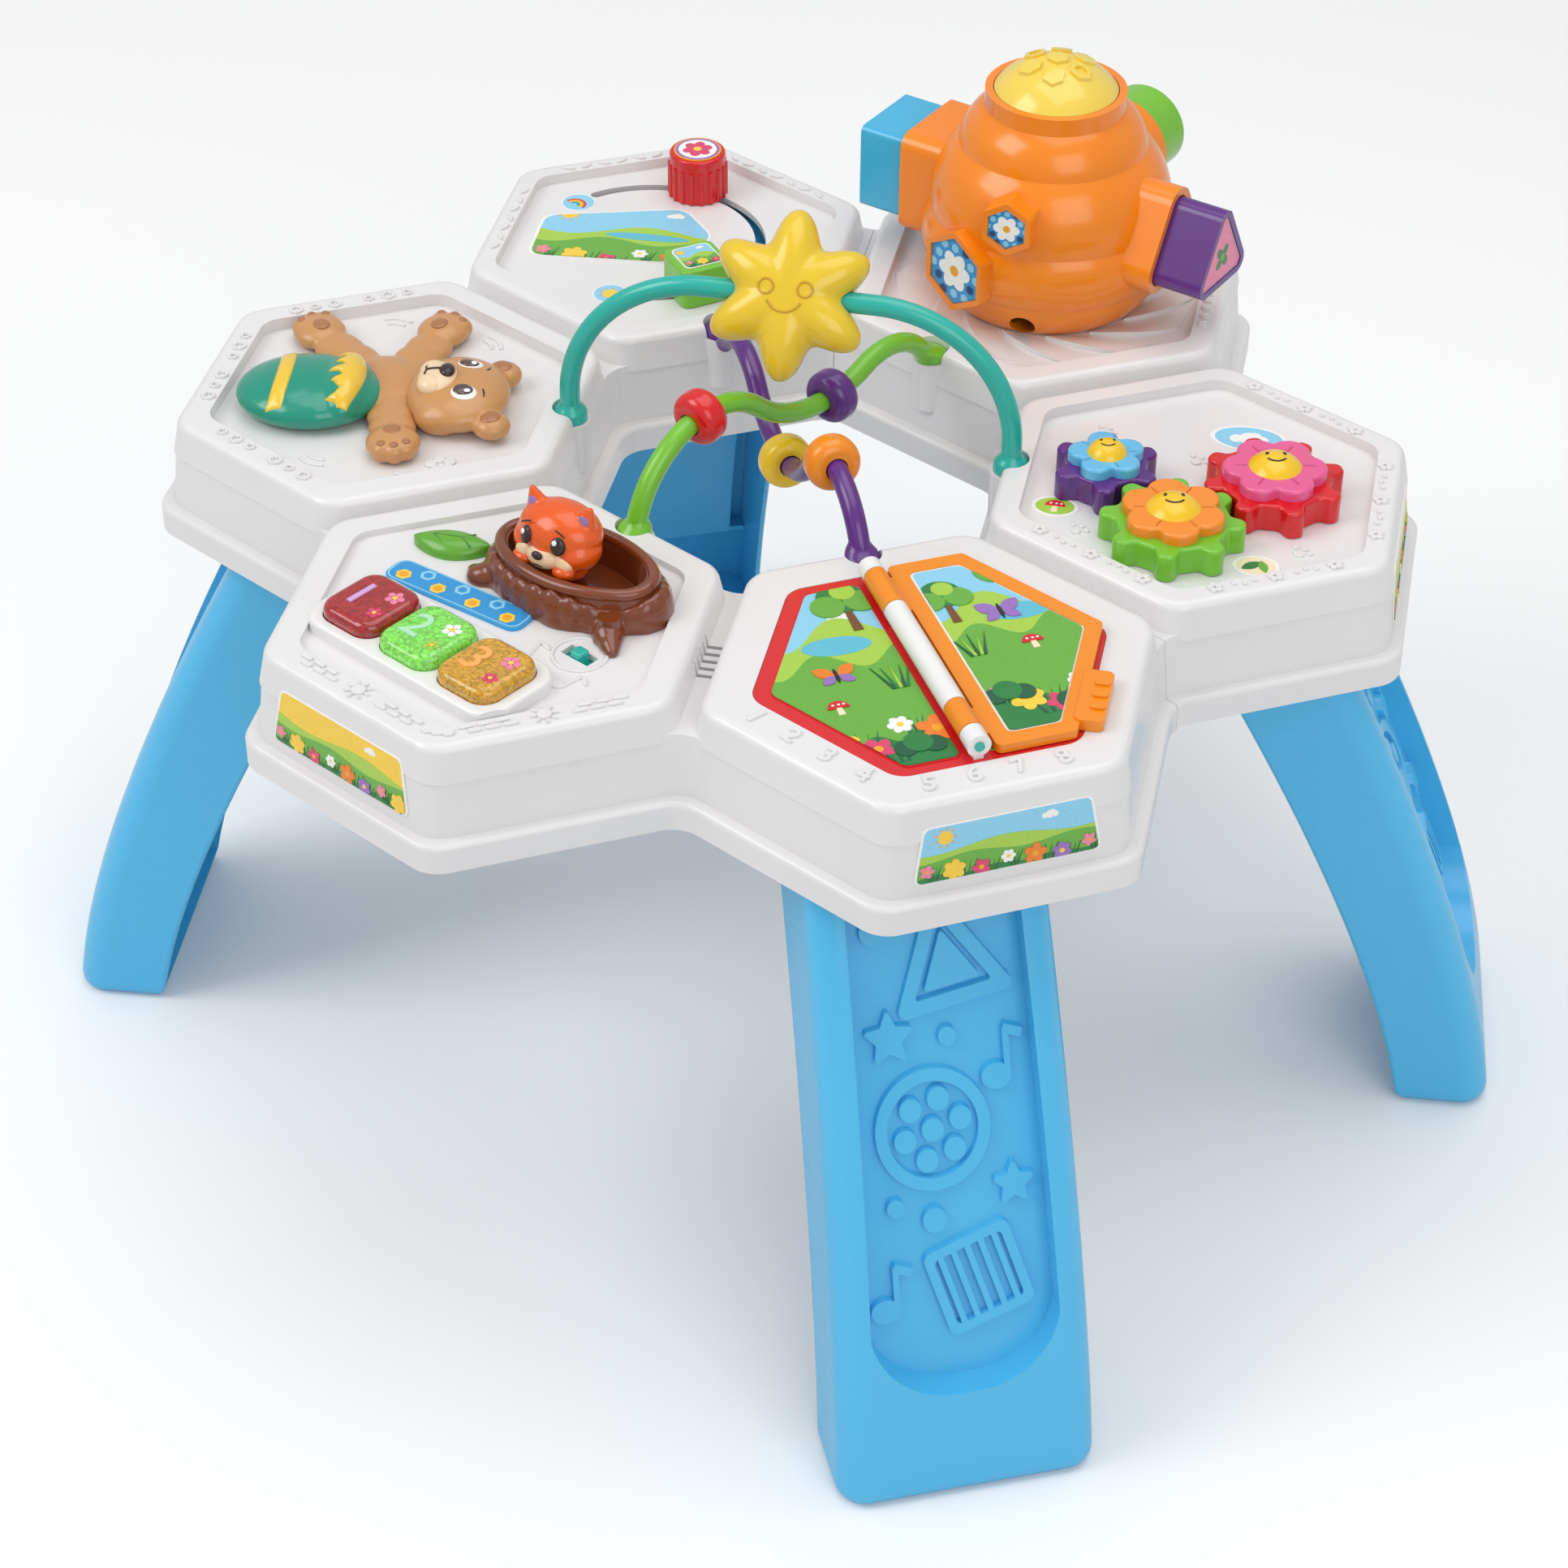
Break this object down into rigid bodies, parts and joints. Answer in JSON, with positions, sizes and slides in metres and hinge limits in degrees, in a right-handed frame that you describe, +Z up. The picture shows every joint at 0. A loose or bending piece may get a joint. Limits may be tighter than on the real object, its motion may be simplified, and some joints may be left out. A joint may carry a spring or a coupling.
{
  "type": "child's activity table",
  "caption": "Low play table: a ring of six hexagonal trays on four curved legs, with gears, a turning page, sliding knobs, light keys, bead wires and a hive shape sorter.",
  "frame": {"origin": "on the floor, under the centre of the ring of trays", "axes": "+Z up, +Y from the ring's centre towards the hive tray, +X to the right of that seen from above, along the long side of the leg rectangle"},
  "size_m": [0.6066, 0.548, 0.4249],
  "materials": {
    "shell_white": "satin",
    "leg_blue": "satin",
    "cover_grey": "matte",
    "screw_steel": "brushed",
    "board_green": "satin",
    "cell_grey": "gloss",
    "speaker_black": "matte",
    "lamp_clear": "gloss",
    "contact_rubber": "matte",
    "bezel_white": "gloss",
    "log_brown": "satin",
    "leaf_green": "gloss",
    "strip_print": "gloss",
    "switch_teal": "gloss",
    "button_red": "clear gloss",
    "button_green": "clear gloss",
    "button_yellow": "clear gloss",
    "fox_orange": "gloss",
    "axle_grey": "satin",
    "gear_purple": "gloss",
    "gear_green": "gloss",
    "gear_red": "gloss",
    "petal_blue": "gloss",
    "petal_orange": "gloss",
    "petal_pink": "gloss",
    "knob_red": "gloss",
    "knob_green": "gloss",
    "bear_tan": "satin",
    "pot_teal": "gloss",
    "book_print": "gloss",
    "spine_white": "gloss",
    "page_orange": "gloss",
    "page_print": "gloss",
    "pin_teal": "gloss",
    "hive_orange": "gloss",
    "dome_yellow": "clear gloss",
    "block_cyan": "gloss",
    "block_green": "gloss",
    "block_purple": "gloss",
    "plaque_yellow": "gloss",
    "wire_teal": "gloss",
    "wire_green": "gloss",
    "wire_purple": "gloss",
    "star_yellow": "gloss",
    "bead_red": "gloss",
    "bead_purple": "gloss",
    "bead_yellow": "gloss",
    "bead_orange": "gloss"
  },
  "bodies": {
    "table": {"table_top_main": "shell_white", "table_top_side": "shell_white", "bottom_cover": "cover_grey", "cover_screws": "screw_steel", "leg_gears": "leg_blue", "leg_slider": "leg_blue", "leg_bear": "leg_blue", "leg_book": "leg_blue", "leg_screws": "screw_steel", "battery_box": "cover_grey", "batteries": "cell_grey", "battery_door": "cover_grey", "door_screw": "screw_steel", "circuit_board": "board_green", "speaker": "speaker_black", "button_leds": "lamp_clear", "button_bezel": "bezel_white", "button_domes": "contact_rubber", "log_bowl": "log_brown", "leaf": "leaf_green", "picture_strip": "strip_print", "gear_axles": "axle_grey", "bear_pivot": "axle_grey", "book_bed": "book_print", "book_spine": "spine_white", "page_pin": "pin_teal", "hive_pivot": "axle_grey", "wire_teal": "wire_teal", "wire_green": "wire_green", "wire_purple": "wire_purple"},
    "hive": {"hive_shell": "hive_orange", "hive_plaques": "plaque_yellow"},
    "dome": {"hive_dome": "dome_yellow"},
    "square_block": {"block_square": "block_cyan"},
    "round_block": {"block_round": "block_green"},
    "triangle_block": {"block_triangle": "block_purple"},
    "green_gear": {"gear_green": "gear_green", "flower_green": "petal_orange"},
    "red_gear": {"gear_red": "gear_red", "flower_red": "petal_pink"},
    "purple_gear": {"gear_purple": "gear_purple", "flower_purple": "petal_blue"},
    "page": {"page_frame": "page_orange", "page_card": "page_print"},
    "red_knob": {"knob_red": "knob_red"},
    "green_knob": {"knob_green": "knob_green"},
    "spinner_star": {"star": "star_yellow"},
    "red_bead": {"bead_red": "bead_red"},
    "violet_bead": {"bead_purple": "bead_purple"},
    "yellow_bead": {"bead_yellow": "bead_yellow"},
    "orange_bead": {"bead_orange": "bead_orange"},
    "fox": {"fox_head": "fox_orange"},
    "key_1": {"button_1": "button_red"},
    "key_2": {"button_2": "button_green"},
    "key_3": {"button_3": "button_yellow"},
    "switch": {"switch_knob": "switch_teal"},
    "bear": {"bear_body": "bear_tan", "bear_head": "bear_tan", "honey_pot": "pot_teal"}
  },
  "joints": [
    {"name": "hive_spin", "type": "hinge", "parent": "table", "child": "hive", "pos_m": [0, 0.18, 0.312], "axis": [0, 0, 1], "continuous": true},
    {"name": "dome_press", "type": "slide", "parent": "hive", "child": "dome", "axis": [0, 0, 1], "range_m": [-0.003, 0], "stiffness_N_per_m": 800},
    {"name": "triangle_block_pull", "type": "slide", "parent": "hive", "child": "triangle_block", "axis": [0.9903, 0.1392, 0], "range_m": [0, 0.045]},
    {"name": "round_block_pull", "type": "slide", "parent": "hive", "child": "round_block", "axis": [-0.1392, 0.9903, 0], "range_m": [0, 0.045]},
    {"name": "square_block_pull", "type": "slide", "parent": "hive", "child": "square_block", "axis": [-0.9903, -0.1392, 0], "range_m": [0, 0.045]},
    {"name": "green_gear_spin", "type": "hinge", "parent": "table", "child": "green_gear", "pos_m": [0.17039, 0.05, 0.315], "axis": [0, 0, 1], "continuous": true},
    {"name": "red_gear_spin", "type": "hinge", "parent": "table", "child": "red_gear", "pos_m": [0.18336, 0.10447, 0.315], "axis": [0, 0, 1], "continuous": true},
    {"name": "purple_gear_spin", "type": "hinge", "parent": "table", "child": "purple_gear", "pos_m": [0.12378, 0.06514, 0.315], "axis": [0, 0, 1], "continuous": true},
    {"name": "page_turn", "type": "hinge", "parent": "table", "child": "page", "pos_m": [0.15388, -0.09346, 0.318], "axis": [0.866, -0.5, 0], "range_deg": [0, 172]},
    {"name": "red_knob_slide", "type": "hinge", "parent": "table", "child": "red_knob", "pos_m": [-0.16489, 0.087, 0.32], "axis": [0, 0, 1], "range_deg": [-62, 48]},
    {"name": "green_knob_slide", "type": "hinge", "parent": "table", "child": "green_knob", "pos_m": [-0.16489, 0.087, 0.32], "axis": [0, 0, 1], "range_deg": [-23, 32]},
    {"name": "star_spin", "type": "hinge", "parent": "table", "child": "spinner_star", "pos_m": [0, 0, 0.3801], "axis": [0.866, 0.5, 0], "continuous": true},
    {"name": "red_bead_slide", "type": "hinge", "parent": "table", "child": "red_bead", "pos_m": [0, -0.0515, 0.3], "axis": [1, 0, 0], "range_deg": [-21, 54]},
    {"name": "violet_bead_slide", "type": "hinge", "parent": "table", "child": "violet_bead", "pos_m": [0, 0.02419, 0.38323], "axis": [1, 0, 0], "range_deg": [-30, 6]},
    {"name": "yellow_bead_slide", "type": "hinge", "parent": "table", "child": "yellow_bead", "pos_m": [-0.00764, 0.00441, 0.34478], "axis": [-0.5, -0.866, 0], "range_deg": [-30, 30]},
    {"name": "orange_bead_slide", "type": "hinge", "parent": "table", "child": "orange_bead", "pos_m": [0.05369, -0.031, 0.296], "axis": [-0.5, -0.866, 0], "range_deg": [-37, 33]},
    {"name": "fox_slide", "type": "slide", "parent": "table", "child": "fox", "axis": [0.9925, 0.1219, 0], "range_m": [0, 0.016]},
    {"name": "key_1_press", "type": "slide", "parent": "table", "child": "key_1", "axis": [0, 0, 1], "range_m": [-0.003, 0], "stiffness_N_per_m": 800},
    {"name": "key_2_press", "type": "slide", "parent": "table", "child": "key_2", "axis": [0, 0, 1], "range_m": [-0.003, 0], "stiffness_N_per_m": 800},
    {"name": "key_3_press", "type": "slide", "parent": "table", "child": "key_3", "axis": [0, 0, 1], "range_m": [-0.003, 0], "stiffness_N_per_m": 800},
    {"name": "switch_slide", "type": "slide", "parent": "table", "child": "switch", "axis": [1, 0, 0], "range_m": [-0.004, 0.004]},
    {"name": "bear_rock", "type": "hinge", "parent": "table", "child": "bear", "pos_m": [-0.15588, -0.09, 0.312], "axis": [0, 0, 1], "range_deg": [-6, 6]}
  ],
  "couplings": [
    {"joint": "red_gear_spin", "follows": "green_gear_spin", "ratio": -1},
    {"joint": "purple_gear_spin", "follows": "green_gear_spin", "ratio": -1.3333}
  ]
}
